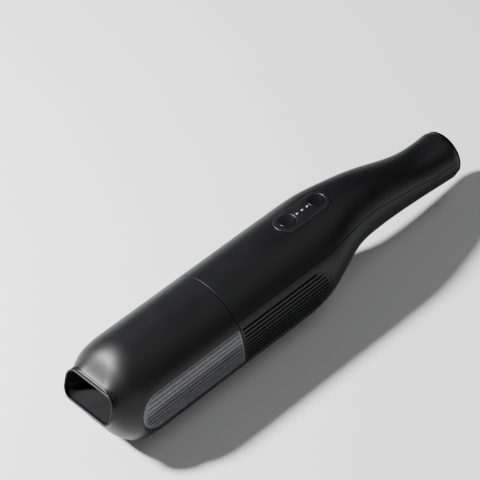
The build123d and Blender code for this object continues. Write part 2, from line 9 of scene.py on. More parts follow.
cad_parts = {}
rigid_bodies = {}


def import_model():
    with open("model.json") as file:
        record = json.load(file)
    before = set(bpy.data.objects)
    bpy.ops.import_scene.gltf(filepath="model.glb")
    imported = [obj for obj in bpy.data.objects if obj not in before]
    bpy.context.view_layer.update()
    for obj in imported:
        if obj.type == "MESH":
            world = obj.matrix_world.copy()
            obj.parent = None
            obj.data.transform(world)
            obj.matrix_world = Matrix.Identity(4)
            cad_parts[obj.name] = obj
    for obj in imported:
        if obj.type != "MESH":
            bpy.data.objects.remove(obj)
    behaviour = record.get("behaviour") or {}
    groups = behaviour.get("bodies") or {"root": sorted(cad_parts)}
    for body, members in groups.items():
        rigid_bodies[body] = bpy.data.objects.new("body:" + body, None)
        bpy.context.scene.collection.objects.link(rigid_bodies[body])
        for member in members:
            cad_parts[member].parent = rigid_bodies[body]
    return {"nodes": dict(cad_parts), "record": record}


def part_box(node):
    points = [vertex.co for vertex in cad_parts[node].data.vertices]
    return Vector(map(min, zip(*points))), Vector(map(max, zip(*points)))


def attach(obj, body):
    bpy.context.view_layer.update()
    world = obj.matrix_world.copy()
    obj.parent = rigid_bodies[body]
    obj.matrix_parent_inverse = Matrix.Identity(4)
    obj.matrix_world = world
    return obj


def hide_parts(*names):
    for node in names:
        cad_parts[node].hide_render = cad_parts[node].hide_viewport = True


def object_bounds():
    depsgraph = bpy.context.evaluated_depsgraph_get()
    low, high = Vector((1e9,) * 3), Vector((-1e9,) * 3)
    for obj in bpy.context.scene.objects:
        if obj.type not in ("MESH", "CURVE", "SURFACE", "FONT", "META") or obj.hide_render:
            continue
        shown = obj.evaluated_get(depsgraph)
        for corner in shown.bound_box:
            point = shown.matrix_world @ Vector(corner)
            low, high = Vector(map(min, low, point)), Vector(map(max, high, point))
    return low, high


for start_object in list(bpy.data.objects):
    bpy.data.objects.remove(start_object)
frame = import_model()
cad_low, cad_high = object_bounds()

# Shapes below are drawn in millimetres about the body axis: X forward from the seam between cup and
# housing, Y to the left, Z up. ORIGIN is where that point lies in the row frame.
SEAM = 0.2
BELLY = 36.8
ORIGIN = Vector((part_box("cup_shell")[0].x - SEAM / 1000, (cad_low.y + cad_high.y) / 2, cad_low.z + BELLY / 1000))

BODY_RADIUS, SIDE_RADIUS, SIDE_HALF = 38.0, 64.0, 35.8
SIDE_OFFSET = SIDE_RADIUS - SIDE_HALF
WALL = 2.2
WINDOW_HALF, WINDOW_ARC, GRILLE_ARC = 14.6, 76.2, -68.3
SLOTS, SLOT_PITCH, SLOT_HALF = 9, 3.3, 0.65
SLOT_MARGIN, SEAM_MARGIN = 2.4, 1.8
SEAM_ROUND = 0.4
PANE_GAP, PANE_RECESS, PANE_BACK, FLUTE_DEPTH = 0.45, 0.12, 2.1, 0.85
RIM_RADIUS, RIM_SUNK = 0.38, 0.40
GRILLE_THICK, GRILLE_EDGE, GRILLE_RECESS = 2.0, 0.22, 0.06
MOUTH_X, MOUTH_Z, MOUTH_HALF_HEIGHT = 108.3, 12.7, 12.1
MOUTH_NORMAL = np.array((math.cos(math.radians(23.9)), 0.0, math.sin(math.radians(23.9))))
LIP = 0.8
REAR_TIP, PORT_Z = -234.8, -3.0
PAD_X, PAD_LENGTH, PAD_WIDTH, PAD_TOP = -93.0, 47.8, 21.0, 38.6
BUTTON_XS, BUTTON_RADIUS = {"power_button": -79.6, "mode_button": -107.3}, 6.0
LED_XS, LED_RADIUS = (-89.0, -93.85, -98.7), 0.8
SCREW_SPOTS = ((-75.0, 24.0), (-75.0, -24.0), (-172.0, 0.0), (-206.0, 0.0))
BOSS_RADIUS, HEAD_BORE, SHANK_BORE, SEAT_DEPTH = 3.5, 2.8, 1.6, 9.0
PAD_THICK, PAD_EDGE, PAD_GAP = 3.6, 0.45, 0.3
DISH_RADIUS = 23.0

MOUTH = (
    MOUTH_X - MOUTH_HALF_HEIGHT * MOUTH_NORMAL[2], MOUTH_Z + MOUTH_HALF_HEIGHT * MOUTH_NORMAL[0],
    MOUTH_X + MOUTH_HALF_HEIGHT * MOUTH_NORMAL[2], MOUTH_Z - MOUTH_HALF_HEIGHT * MOUTH_NORMAL[0],
    25.5, 9.1,
)
# The mouth's outline, one lip radius behind its front.
THROAT = (MOUTH[0] - LIP * MOUTH_NORMAL[0], MOUTH[1] - LIP * MOUTH_NORMAL[2],
          MOUTH[2] - LIP * MOUTH_NORMAL[0], MOUTH[3] - LIP * MOUTH_NORMAL[2], 25.5, 9.1)
# Stations along the cup: top edge (x, z), bottom edge (x, z), half width, corner radius.
CUP = [
    (SEAM, 38.0, SEAM, -38.0, 38.0, 38.0), (20.0, 38.0, 20.0, -38.0, 38.0, 38.0),
    (40.0, 38.0, 40.0, -38.0, 38.0, 38.0), (60.0, 38.0, 60.0, -38.0, 38.0, 38.0),
    (69.0, 38.0, 69.0, -38.0, 38.0, 38.0), (77.0, 37.6, 78.0, -37.8, 37.9, 37.6),
    (84.0, 35.8, 86.5, -36.3, 37.4, 36.6), (89.5, 33.0, 94.0, -32.2, 35.7, 34.2),
    (93.8, 29.8, 100.0, -25.8, 32.7, 30.5), (97.0, 27.2, 104.4, -18.2, 30.0, 25.5),
    (99.3, 25.5, 107.4, -10.5, 27.9, 20.0), (101.0, 24.6, 109.6, -4.2, 26.4, 15.0),
    (102.3, 24.0, 111.4, 0.0, 25.4, 11.0), THROAT,
]
PASSAGE = [
    (66.0, 21.5, 66.0, 2.5, 20.0, 7.5), (86.0, 21.9, 89.0, 2.8, 21.4, 7.6),
    (MOUTH[0] + 1.2, MOUTH[1] - 1.2, MOUTH[2] + 1.2, MOUTH[3] + 1.2, 23.9, 7.7),
]
# Stations along the housing and handle: x, top, bottom, half width.
HANDLE = [
    (-SEAM, 38.0, -38.0, 38.0), (-20.0, 38.0, -38.0, 38.0), (-40.0, 38.0, -38.0, 38.0),
    (-58.0, 38.0, -38.0, 38.0), (-67.0, 38.0, -37.8, 37.9), (-77.0, 38.1, -36.4, 37.3),
    (-88.0, 38.2, -32.4, 36.2), (-99.0, 38.2, -25.2, 34.0), (-111.0, 38.1, -18.2, 30.8),
    (-125.0, 37.6, -14.8, 27.0), (-140.0, 35.4, -14.5, 24.3), (-155.0, 31.4, -15.3, 22.3),
    (-170.0, 26.2, -16.7, 20.6), (-185.0, 20.9, -18.5, 19.2), (-200.0, 17.2, -20.2, 18.4),
    (-213.0, 16.0, -21.6, 18.4), (-223.0, 16.1, -22.4, 18.8), (-229.5, 15.4, -21.8, 18.2),
    (-233.2, 13.0, -19.4, 15.8), (REAR_TIP, 8.8, -15.2, 11.6),
]
# Parting line between the upper and lower shells.
PARTING = [(-240.0, -0.6), (-205.0, 0.4), (-175.0, 8.5), (-142.0, 17.6), (-111.0, 20.6), (-85.0, 20.2), (5.0, 20.2)]


# ---------------------------------------------------------------- surface of the body
def soft_low(a, b, width):
    """The lower of two values, rounded over where they meet."""
    share = np.clip(0.5 + 0.5 * (b - a) / width, 0, 1)
    return b + (a - b) * share - width * share * (1 - share)


def spline(places, values):
    """Natural cubic spline through rows of values; returns a function of place."""
    places, values = np.array(places, float), np.array(values, float)
    count, gap = len(places), np.diff(places)
    system, right = np.eye(count), np.zeros_like(values)
    for i in range(1, count - 1):
        system[i, i - 1:i + 2] = gap[i - 1], 2 * (gap[i - 1] + gap[i]), gap[i]
        right[i] = 6 * ((values[i + 1] - values[i]) / gap[i] - (values[i] - values[i - 1]) / gap[i - 1])
    bend = np.linalg.solve(system, right)

    def at(place):
        i = int(np.clip(np.searchsorted(places, place) - 1, 0, count - 2))
        a, b = (places[i + 1] - place) / gap[i], (place - places[i]) / gap[i]
        curve = ((a ** 3 - a) * bend[i] + (b ** 3 - b) * bend[i + 1]) * gap[i] ** 2 / 6
        return a * values[i] + b * values[i + 1] + curve
    return at


def half_ring(station, inset=0.0, count=120):
    """Outline of a station from the top middle down the left side to the bottom middle."""
    top_x, top_z, bottom_x, bottom_z, half_width, corner = station
    reach = math.hypot(top_x - bottom_x, top_z - bottom_z) / 2
    lean_x, lean_z = (top_x - bottom_x) / (2 * reach), (top_z - bottom_z) / (2 * reach)
    width, height = half_width - inset, reach - inset
    radius = min(max(corner - inset, 0.6), width, height)
    rise, arc, run = height - radius, radius * math.pi / 2, width - radius
    share = np.linspace(0, 2, count)
    along = np.where(share < 1, 1 - share, share - 1) * (rise + arc + run)
    turn = np.clip((along - rise) / radius, 0, math.pi / 2)
    y = np.where(along <= rise + arc, run + radius * np.cos(turn), run - (along - rise - arc))
    z = np.where(along <= rise, along, rise + radius * np.sin(turn)) * np.where(share < 1, 1, -1)
    x = (top_x + bottom_x) / 2 + z * lean_x
    z = (top_z + bottom_z) / 2 + z * lean_z
    side = np.sqrt((SIDE_RADIUS - inset) ** 2 - np.minimum(z * z, BODY_RADIUS ** 2)) - SIDE_OFFSET
    y = np.where(y > 0, np.maximum(soft_low(y, side, np.where(np.abs(x) < 70, 0.9, 0.5)), 0), 0)
    y[0] = y[-1] = 0
    z = -soft_low(-z, BELLY - inset, 0.8)
    return np.stack([x, y, z], 1)


def whole_ring(half):
    """Closed outline from its left half."""
    other = half[1:-1][::-1] * (1, -1, 1)
    return np.concatenate([half, other])


def side_y(z, inset=0.0):
    return np.sqrt((SIDE_RADIUS - inset) ** 2 - np.asarray(z, float) ** 2) - SIDE_OFFSET


def crown_z(y, top=BODY_RADIUS):
    return np.sqrt(top ** 2 - np.asarray(y, float) ** 2)


def dense(table, step):
    """Stations interpolated along a table of them, about step mm apart."""
    table = np.array(table, float)
    middle = (table[:, [0, 1]] + table[:, [2, 3]]) / 2
    along = np.concatenate([[0], np.cumsum(np.linalg.norm(np.diff(middle, axis=0), axis=1))])
    at = spline(along, table)
    return [at(place) for place in np.linspace(0, along[-1], int(along[-1] / step) + 1)]


# ---------------------------------------------------------------- meshes
def new_piece(name, verts, faces, smooth=32):
    """Mesh object from points in mm about the body axis, placed in the row frame."""
    mesh = bpy.data.meshes.new(name)
    placed = np.asarray(verts, float) / 1000 + np.array(ORIGIN)
    mesh.from_pydata([tuple(v) for v in placed], [], [tuple(int(i) for i in f) for f in faces])
    edit = bmesh.new()
    edit.from_mesh(mesh)
    bmesh.ops.remove_doubles(edit, verts=edit.verts, dist=1e-7)
    bmesh.ops.recalc_face_normals(edit, faces=edit.faces)
    edit.to_mesh(mesh)
    edit.free()
    obj = bpy.data.objects.new(name, mesh)
    bpy.context.scene.collection.objects.link(obj)
    smooth_over(obj, smooth)
    return obj


def smooth_over(obj, angle):
    obj.data.polygons.foreach_set("use_smooth", [True] * len(obj.data.polygons))
    obj.data.set_sharp_from_angle(angle=math.radians(angle))


def grid_faces(rows, columns, wrap_rows=False, wrap_columns=False, start=0):
    faces = []
    for i in range(rows if wrap_rows else rows - 1):
        for j in range(columns if wrap_columns else columns - 1):
            a, b = i * columns, ((i + 1) % rows) * columns
            k = (j + 1) % columns
            faces.append((start + a + j, start + a + k, start + b + k, start + b + j))
    return faces


def prism(outline, low, high, axis):
    """Closed prism of a flat outline, (x, other) points, between two values along axis 1 (Y) or 2 (Z)."""
    count = len(outline)
    verts = []
    for level in (low, high):
        for x, other in outline:
            verts.append((x, level, other) if axis == 1 else (x, other, level))
    faces = [tuple(range(count)), tuple(range(count, 2 * count))]
    faces += [(i, (i + 1) % count, count + (i + 1) % count, count + i) for i in range(count)]
    return verts, faces


def cut(obj, *cutters):
    """Takes the cutters, as (verts, faces), out of the object's mesh."""
    for verts, faces in cutters:
        cutter = new_piece("cutter", verts, faces)
        modifier = obj.modifiers.new("cut", "BOOLEAN")
        modifier.operation, modifier.solver, modifier.object = "DIFFERENCE", "EXACT", cutter
        graph = bpy.context.evaluated_depsgraph_get()
        mesh = bpy.data.meshes.new_from_object(obj.evaluated_get(graph))
        obj.modifiers.clear()
        obj.data = mesh
        bpy.data.objects.remove(cutter)
    smooth_over(obj, 32)


def stadium(arc_x, end_x, half, steps=64):
    """Outline (x, z) with a round end about arc_x and a square end at end_x."""
    toward = math.copysign(1, arc_x - end_x)
    turn = np.linspace(-math.pi / 2, math.pi / 2, steps)
    arc = [(arc_x + toward * half * math.cos(t), half * math.sin(t)) for t in turn]
    return [(end_x, -half)] + arc + [(end_x, half)]


def pill(length, width, x=0.0, steps=40):
    half, run = width / 2, (length - width) / 2
    turn = np.linspace(-math.pi / 2, math.pi / 2, steps)
    front = [(x + run + half * math.cos(t), half * math.sin(t)) for t in turn]
    back = [(x - run - half * math.cos(t), -half * math.sin(t)) for t in turn]
    return front + back


def circle(radius, x, y=0.0, steps=48):
    turns = [2 * math.pi * i / steps for i in range(steps)]
    return [(x + radius * math.cos(t), y + radius * math.sin(t)) for t in turns]


def plate(name, outer, holes, thick, round_edge, bend, strips):
    """Flat plate with holes and rounded edges, cut into strips across and then bent by bend(u, v, depth)."""
    curve = bpy.data.curves.new(name, "CURVE")
    curve.dimensions, curve.fill_mode = "2D", "BOTH"
    curve.extrude, curve.bevel_depth, curve.bevel_resolution = thick / 2 - round_edge, round_edge, 3
    curve.offset = -round_edge
    for loop in [outer] + holes:
        line = curve.splines.new("POLY")
        line.points.add(len(loop) - 1)
        for point, (u, v) in zip(line.points, loop):
            point.co = (u, v, 0, 1)
        line.use_cyclic_u = True
    flat = bpy.data.objects.new(name, curve)
    bpy.context.scene.collection.objects.link(flat)
    mesh = bpy.data.meshes.new_from_object(flat.evaluated_get(bpy.context.evaluated_depsgraph_get()))
    bpy.data.objects.remove(flat)
    edit = bmesh.new()
    edit.from_mesh(mesh)
    bmesh.ops.remove_doubles(edit, verts=edit.verts, dist=1e-4)
    for level in strips:
        parts = edit.verts[:] + edit.edges[:] + edit.faces[:]
        bmesh.ops.bisect_plane(edit, geom=parts, dist=1e-5, plane_co=(0, level, 0), plane_no=(0, 1, 0))
    for vert in edit.verts:
        u, v, depth = vert.co
        vert.co = Vector(bend(u, v, thick / 2 - depth)) / 1000 + ORIGIN
    bmesh.ops.recalc_face_normals(edit, faces=edit.faces)
    edit.to_mesh(mesh)
    edit.free()
    mesh.materials.clear()
    obj = bpy.data.objects.new(name, mesh)
    bpy.context.scene.collection.objects.link(obj)
    smooth_over(obj, 40)
    return obj


def tube_along(name, path, outward, radius, sides=12):
    """Round bead along a path of points; outward is the direction across it at each point."""
    path, outward = np.array(path), np.array(outward)
    tangent = np.gradient(path, axis=0)
    tangent /= np.linalg.norm(tangent, axis=1)[:, None]
    outward -= (outward * tangent).sum(1)[:, None] * tangent
    outward /= np.linalg.norm(outward, axis=1)[:, None]
    across = np.cross(tangent, outward)
    turn = np.linspace(0, 2 * math.pi, sides, endpoint=False)
    rings = (path[:, None] + radius * (np.cos(turn)[None, :, None] * outward[:, None]
                                       + np.sin(turn)[None, :, None] * across[:, None]))
    faces = grid_faces(len(path), sides, wrap_columns=True)
    last = (len(path) - 1) * sides
    faces += [tuple(range(sides)), tuple(range(last, last + sides))]
    return new_piece(name, rings.reshape(-1, 3), faces)


# ---------------------------------------------------------------- dust cup
def seam_rings(x_sign, table_start, radius=SEAM_ROUND):
    """Rounded edge at the seam: rings that shrink toward it."""
    rings = []
    for turn in np.linspace(0, math.pi / 2, 5)[:-1]:
        x = x_sign * (SEAM + radius * (1 - math.cos(turn)))
        station = (x, table_start[1], x, table_start[3], table_start[4], table_start[5])
        rings.append(half_ring(station, radius * (1 - math.sin(turn))))
    return rings


def build_cup():
    start = SEAM + SEAM_ROUND
    stations = dense([(start, BODY_RADIUS, start, -BODY_RADIUS, BODY_RADIUS, BODY_RADIUS)] + CUP[1:], 0.8)
    rings = seam_rings(1, CUP[0]) + [half_ring(s) for s in stations]
    for turn in np.linspace(0, math.pi, 11)[1:]:
        rings.append(half_ring(THROAT, LIP * (1 - math.cos(turn))) + MOUTH_NORMAL * LIP * math.sin(turn))
    for back in (0.7, 1.4, 2.2):
        rings.append(half_ring(THROAT, 2 * LIP) - MOUTH_NORMAL * back)
    duct = spline([0, 1, 2], PASSAGE)
    rings += [half_ring(duct(v), -1.62) for v in (1.80, 1.65, 1.5)]
    cavity = dense([s for s in CUP if s[0] <= 97.0], 2.0)
    rings += [half_ring(s, WALL) for s in cavity[::-1]]
    loops = np.array([whole_ring(r) for r in rings])
    faces = grid_faces(loops.shape[0], loops.shape[1], wrap_rows=True, wrap_columns=True)
    skin = new_piece("cup_skin", loops.reshape(-1, 3), faces)
    opening = stadium(WINDOW_ARC, -1.0, WINDOW_HALF + 0.42)
    cut(skin, prism(opening, 26, 60, 1), prism(opening, -60, -26, 1))
    return skin


def slot_depth(x, z, arc_x):
    """0 to 1: how deep into a flute a point of the pane lies."""
    toward = math.copysign(1, arc_x)
    depth = np.zeros_like(x)
    for index in range(SLOTS):
        centre = (index - (SLOTS - 1) / 2) * SLOT_PITCH
        far = abs(arc_x) + math.sqrt(WINDOW_HALF ** 2 - centre ** 2) - SLOT_MARGIN - SLOT_HALF
        near = SEAM_MARGIN + SLOT_HALF
        along = np.clip(toward * x, near, far)
        away = np.hypot(toward * x - along, z - centre) / (SLOT_HALF * 1.25)
        depth = np.maximum(depth, np.where(away < 1, np.cos(np.minimum(away, 1) * math.pi / 2) ** 0.7, 0))
    return depth


def build_window(side):
    """Clear pane with long rounded flutes on its inner face."""
    half = WINDOW_HALF - PANE_GAP
    rows = 241
    z = half * np.sin(np.linspace(-math.pi / 2, math.pi / 2, rows))
    end = WINDOW_ARC + np.sqrt(np.maximum(half ** 2 - z ** 2, 0))
    near, far = np.arange(0, 4.01, 0.2), np.arange(0, 4.61, 0.2)[::-1]
    middle = np.linspace(0, 1, 34)[1:-1]
    start = SEAM + 0.05
    columns = [start + d + 0 * z for d in near]
    columns += [(start + near[-1]) * (1 - f) + (end - far[0]) * f for f in middle]
    columns += [end - d for d in far]
    x = np.stack(columns, 1)
    zz = np.repeat(z[:, None], x.shape[1], 1)
    edge = np.minimum.reduce([x - start, np.abs(end[:, None] - x), np.abs(half - np.abs(zz))])
    soften = 0.25 * (1 - np.clip(edge / 0.3, 0, 1)) ** 2
    outside = side_y(zz, 0) - PANE_RECESS - soften
    inside = side_y(zz, 0) - PANE_BACK + FLUTE_DEPTH * slot_depth(x, zz, WINDOW_ARC)
    faces = grid_faces(rows, x.shape[1])
    count = rows * x.shape[1]
    verts = np.concatenate([np.stack([x, side * layer, zz], -1).reshape(-1, 3) for layer in (outside, inside)])
    faces += grid_faces(rows, x.shape[1], start=count)
    wide = x.shape[1]
    rim = list(range(wide)) + [i * wide + wide - 1 for i in range(1, rows)]
    rim += [(rows - 1) * wide + j for j in range(wide - 2, -1, -1)] + [i * wide for i in range(rows - 2, 0, -1)]
    faces += [(a, b, b + count, a + count) for a, b in zip(rim, rim[1:] + rim[:1])]
    pane = new_piece("pane_left" if side > 0 else "pane_right", verts, faces, 50)
    placed_at = (np.array([v.co for v in pane.data.vertices]) - np.array(ORIGIN)) * 1000
    # Flute depth at each point of the pane; the material uses it to paint shade into the grooves and to let more
    # through there.
    thin_and_groove_shade = slot_depth(placed_at[:, 0], placed_at[:, 2], WINDOW_ARC)
    pane.data.attributes.new("thin_and_groove_shade", "FLOAT", "POINT").data.foreach_set("value", thin_and_groove_shade.astype(np.float32))
    return pane


def build_rim(side):
    """Fine bead round the window, open at the seam."""
    line = stadium(WINDOW_ARC, SEAM + 0.35, WINDOW_HALF, 72)
    fine = []
    for (x0, z0), (x1, z1) in zip(line, line[1:]):
        steps = max(1, int(math.hypot(x1 - x0, z1 - z0) / 2))
        fine += [(x0 + (x1 - x0) * i / steps, z0 + (z1 - z0) * i / steps) for i in range(steps)]
    fine.append(line[-1])
    path = [(x, side * (float(side_y(z)) - RIM_SUNK), z) for x, z in fine]
    outward = np.array([(0, side, 0)] * len(path), float)
    return tube_along("rim_left" if side > 0 else "rim_right", path, outward, RIM_RADIUS)


def build_grille(side):
    """Exhaust grille: flush plate with long round-ended slots, open to the foam behind."""
    near = -(SEAM_MARGIN + SLOT_HALF)
    holes = []
    for index in range(SLOTS):
        z = (index - (SLOTS - 1) / 2) * SLOT_PITCH
        far = GRILLE_ARC - math.sqrt(WINDOW_HALF ** 2 - z ** 2) + SLOT_MARGIN + SLOT_HALF
        length = near - far + 2 * SLOT_HALF
        holes.append([(u, z + v) for u, v in pill(length, 2 * SLOT_HALF, (near + far) / 2, 12)])
    outer = stadium(GRILLE_ARC, -SEAM - 0.05, WINDOW_HALF - 0.12)

    def bend(u, v, depth):
        return u, side * (float(side_y(v)) - GRILLE_RECESS - depth), v
    strips = np.arange(-14.4, 14.5, 0.45)
    name = "grille_plate_left" if side > 0 else "grille_plate_right"
    return plate(name, outer, holes, GRILLE_THICK, GRILLE_EDGE, bend, strips)


# ---------------------------------------------------------------- housing
def cross_at(half, level):
    """Distance along a half outline where it comes down to a level, with the distances of its points."""
    along = np.concatenate([[0], np.cumsum(np.linalg.norm(np.diff(half, axis=0), axis=1))])
    below = int(np.argmax(half[:, 2] <= level))
    z0, z1 = half[below - 1, 2], half[below, 2]
    share = (z0 - level) / max(z0 - z1, 1e-9)
    return along[below - 1] + share * (along[below] - along[below - 1]), along


def arc_of(half, level, upper, count, gap):
    """The part of a half outline above or below the parting line, from the middle to its edge."""
    place, along = cross_at(half, level)
    places = np.linspace(0, place - gap, count) if upper else np.linspace(along[-1], place + gap, count)
    return np.stack([np.interp(places, along, half[:, k]) for k in range(3)], 1)


def housing_rings():
    """Outer and inner half outlines, in pairs, from the seam back to the charging port."""
    port = (REAR_TIP, PORT_Z + 4.08, REAR_TIP, PORT_Z - 4.08, 7.58, 4.08)
    table = [(x, top, x, bottom, wide, min(wide, (top - bottom) / 2)) for x, top, bottom, wide in HANDLE]
    start = -SEAM - SEAM_ROUND
    first = (start,) + table[0][1:2] + (start,) + table[0][3:]
    body = dense([first] + table[1:-1], 1.2) + dense(table[-4:], 0.35)[-10:]
    pairs = [(r, half_ring((r[0, 0],) + table[0][1:2] + (r[0, 0],) + table[0][3:], WALL))
             for r in seam_rings(-1, table[0])]
    for station in body:
        held = max(station[0], REAR_TIP + WALL)
        pairs.append((half_ring(station), half_ring((held, station[1], held) + tuple(station[3:]), WALL)))
    end, end_inner = half_ring(table[-1]), half_ring((REAR_TIP + WALL, 8.8, REAR_TIP + WALL) + table[-1][3:], WALL)
    mouth, mouth_inner = half_ring(port), half_ring(port, -1.1) + (WALL, 0, 0)
    for share in (0.2, 0.4, 0.6, 0.8, 0.95, 1.0):
        pairs.append((end + (mouth - end) * share, end_inner + (mouth_inner - end_inner) * share))
    for deep in (0.3, 2.0, 4.0, 5.9):
        pairs.append((mouth + (deep, 0, 0), mouth_inner + (max(deep - WALL, 0), 0, 0)))
    return pairs


def build_housing(upper):
    heights = np.array(PARTING).T
    loops = []
    for outer, inner in housing_rings():
        level = float(np.interp(outer[len(outer) // 2, 0], heights[0], heights[1]))
        count = 90
        skin = arc_of(outer, level, upper, count, 0.32)
        edge = skin[-1]
        down = -1 if upper else 1
        steps = ((0.10, 0.16), (0.45, 0.20), (0.9, 0.20))
        fold = np.array([edge + (0, -inward, down * fall) for inward, fall in steps])
        fold[:, 1] = np.maximum(fold[:, 1], 0.2)
        skin = np.concatenate([skin, fold])
        lining = arc_of(inner, level, upper, count + 3, 0.12)
        both = np.concatenate([skin[::-1], skin[1:] * (1, -1, 1)])
        back = np.concatenate([lining[::-1], lining[1:] * (1, -1, 1)])
        loops.append(np.concatenate([both, back[::-1]]))
    loops = np.array(loops)
    rows, wide = loops.shape[:2]
    faces = grid_faces(rows, wide, wrap_columns=True)
    for row in (0, rows - 1):
        base = row * wide
        for j in range(wide // 2 - 1):
            faces.append((base + j, base + j + 1, base + wide - 2 - j, base + wide - 1 - j))
    return new_piece("upper_skin" if upper else "lower_skin", loops.reshape(-1, 3), faces)


def lathe(name, profile, x, y, steps=48):
    """Closed turned piece about an upright line; profile is a loop of (radius, z)."""
    turns = np.linspace(0, 2 * math.pi, steps, endpoint=False)
    verts = [(x + r * math.cos(t), y + r * math.sin(t), z) for t in turns for r, z in profile]
    return new_piece(name, verts, grid_faces(steps, len(profile), wrap_rows=True, wrap_columns=True))


def underside(x, y):
    """Height of the housing's underside skin."""
    table = np.array(HANDLE[::-1]).T
    top, bottom, wide = (float(np.interp(x, table[0], table[k])) for k in (1, 2, 3))
    corner = min(wide, (top - bottom) / 2)
    return bottom + corner - math.sqrt(corner ** 2 - max(0.0, abs(y) - (wide - corner)) ** 2)


def join(first, *others):
    """Adds the other pieces' meshes to the first."""
    edit = bmesh.new()
    for obj in (first,) + others:
        edit.from_mesh(obj.data)
    edit.to_mesh(first.data)
    edit.free()
    for obj in others:
        bpy.data.objects.remove(obj)
    smooth_over(first, 32)
    return first


def build_lower():
    skin = build_housing(False)
    opening = stadium(GRILLE_ARC, 1.0, WINDOW_HALF)
    cut(skin, prism(opening, 26, 60, 1), prism(opening, -60, -26, 1))
    heights = np.array(PARTING).T
    bosses = []
    for x, y in SCREW_SPOTS:
        seat = float(np.interp(x, heights[0], heights[1])) - SEAT_DEPTH
        top = seat + SEAT_DEPTH - 0.5
        cut(skin, prism(circle(HEAD_BORE, x, y), -60, seat, 2))
        boss = lathe("boss", [(BOSS_RADIUS, -60), (BOSS_RADIUS, top), (SHANK_BORE, top), (SHANK_BORE, seat),
                              (HEAD_BORE, seat), (HEAD_BORE, -60)], x, y)
        for vert in boss.data.vertices:
            if (vert.co.z - ORIGIN.z) * 1000 < -59:
                vert.co.z = ORIGIN.z + (underside(x, (vert.co.y - ORIGIN.y) * 1000) + 1.1) / 1000
        bosses.append(boss)
    return join(skin, *bosses)


def build_upper():
    skin = build_housing(True)
    cut(skin, prism(pill(PAD_LENGTH + 0.7, PAD_WIDTH + 0.7, PAD_X), 20, 60, 2))
    return skin


# ---------------------------------------------------------------- controls
def build_pad():
    holes = [circle(BUTTON_RADIUS + PAD_GAP, x) for x in BUTTON_XS.values()]
    holes += [circle(LED_RADIUS, x, steps=24) for x in LED_XS]

    def bend(u, v, depth):
        return u, v, float(crown_z(v, PAD_TOP)) - depth
    outer, strips = pill(PAD_LENGTH, PAD_WIDTH, PAD_X), np.arange(-10.2, 10.3, 0.6)
    return plate("pad_cap", outer, holes, PAD_THICK, PAD_EDGE, bend, strips)


def build_button(node, x):
    """Round key with a dished top and a soft edge, inside the pad's crown."""
    turns = np.linspace(0, 2 * math.pi, 96, endpoint=False)
    radii = np.concatenate([np.linspace(0.02, 5.4, 22), 6.0 - 0.45 * (1 - np.sin(np.linspace(0.35, math.pi / 2, 7)))])
    rows = []
    for radius in radii:
        y = radius * np.sin(turns)
        dish = BODY_RADIUS + DISH_RADIUS - 0.4 - math.sqrt(DISH_RADIUS ** 2 - radius ** 2)
        top = soft_low(crown_z(y, BODY_RADIUS + 0.45), dish + 0 * y, 0.25)
        over = max(0.0, (radius - 5.55) / 0.45)
        rows.append(np.stack([x + radius * np.cos(turns), y, top - 0.45 * (1 - math.sqrt(max(1 - over ** 2, 0)))], 1))
    for low, radius in ((36.4, 6.0), (34.4, 6.0), (34.3, 7.0), (33.4, 7.0), (33.4, 0.02)):
        rows.append(np.stack([x + radius * np.cos(turns), radius * np.sin(turns), low + 0 * turns], 1))
    verts = np.array(rows)
    count, wide = verts.shape[:2]
    faces = grid_faces(count, wide, wrap_columns=True)
    faces += [tuple(range(wide)), tuple(range((count - 1) * wide, count * wide))]
    return new_piece(node + "_cap", verts.reshape(-1, 3), faces)


def build_lens(index, x):
    """Small domed light window."""
    turns = np.linspace(0, 2 * math.pi, 24, endpoint=False)
    rows = [(LED_RADIUS - 0.03, 35.0)]
    rows += [((LED_RADIUS - 0.03) * math.cos(t), PAD_TOP - 0.28 + 0.22 * math.sin(t)) for t in np.linspace(0, 1.5, 7)]
    verts = [(x + r * math.cos(t), r * math.sin(t), z) for r, z in rows for t in turns]
    faces = grid_faces(len(rows), 24, wrap_columns=True)
    faces += [tuple(range(24)), tuple(range((len(rows) - 1) * 24, len(rows) * 24))]
    return new_piece(f"light_window_{index}", verts, faces)


# ---------------------------------------------------------------- materials
def blank(name):
    material = bpy.data.materials.new(name)
    material.use_nodes = True
    tree = material.node_tree
    tree.nodes.clear()
    shader = tree.nodes.new("ShaderNodeBsdfPrincipled")
    output = tree.nodes.new("ShaderNodeOutputMaterial")
    tree.links.new(shader.outputs["BSDF"], output.inputs["Surface"])
    return material, tree, shader


def placed(tree, stretch=(1, 1, 1)):
    """Object coordinates, stretched for grain that runs one way."""
    place = tree.nodes.new("ShaderNodeTexCoord")
    mapping = tree.nodes.new("ShaderNodeMapping")
    mapping.inputs["Scale"].default_value = stretch
    tree.links.new(place.outputs["Object"], mapping.inputs["Vector"])
    return mapping.outputs["Vector"]


def noise(tree, vector, size_mm, detail=4.0, roughness=0.55):
    node = tree.nodes.new("ShaderNodeTexNoise")
    node.inputs["Scale"].default_value = 1000.0 / size_mm
    node.inputs["Detail"].default_value = detail
    node.inputs["Roughness"].default_value = roughness
    tree.links.new(vector, node.inputs["Vector"])
    return node.outputs["Fac"]


def ranged(tree, source, low, high, start=0.3, end=0.7):
    node = tree.nodes.new("ShaderNodeMapRange")
    node.inputs["From Min"].default_value, node.inputs["From Max"].default_value = start, end
    node.inputs["To Min"].default_value, node.inputs["To Max"].default_value = low, high
    tree.links.new(source, node.inputs["Value"])
    return node.outputs["Result"]


def blended(tree, share, first, second):
    """Mix of two colours, each a tuple or a socket."""
    node = tree.nodes.new("ShaderNodeMix")
    node.data_type = "RGBA"
    tree.links.new(share, node.inputs["Factor"])
    for socket, colour in ((node.inputs[6], first), (node.inputs[7], second)):
        if isinstance(colour, tuple):
            socket.default_value = (*colour, 1.0)
        else:
            tree.links.new(colour, socket)
    return node.outputs[2]


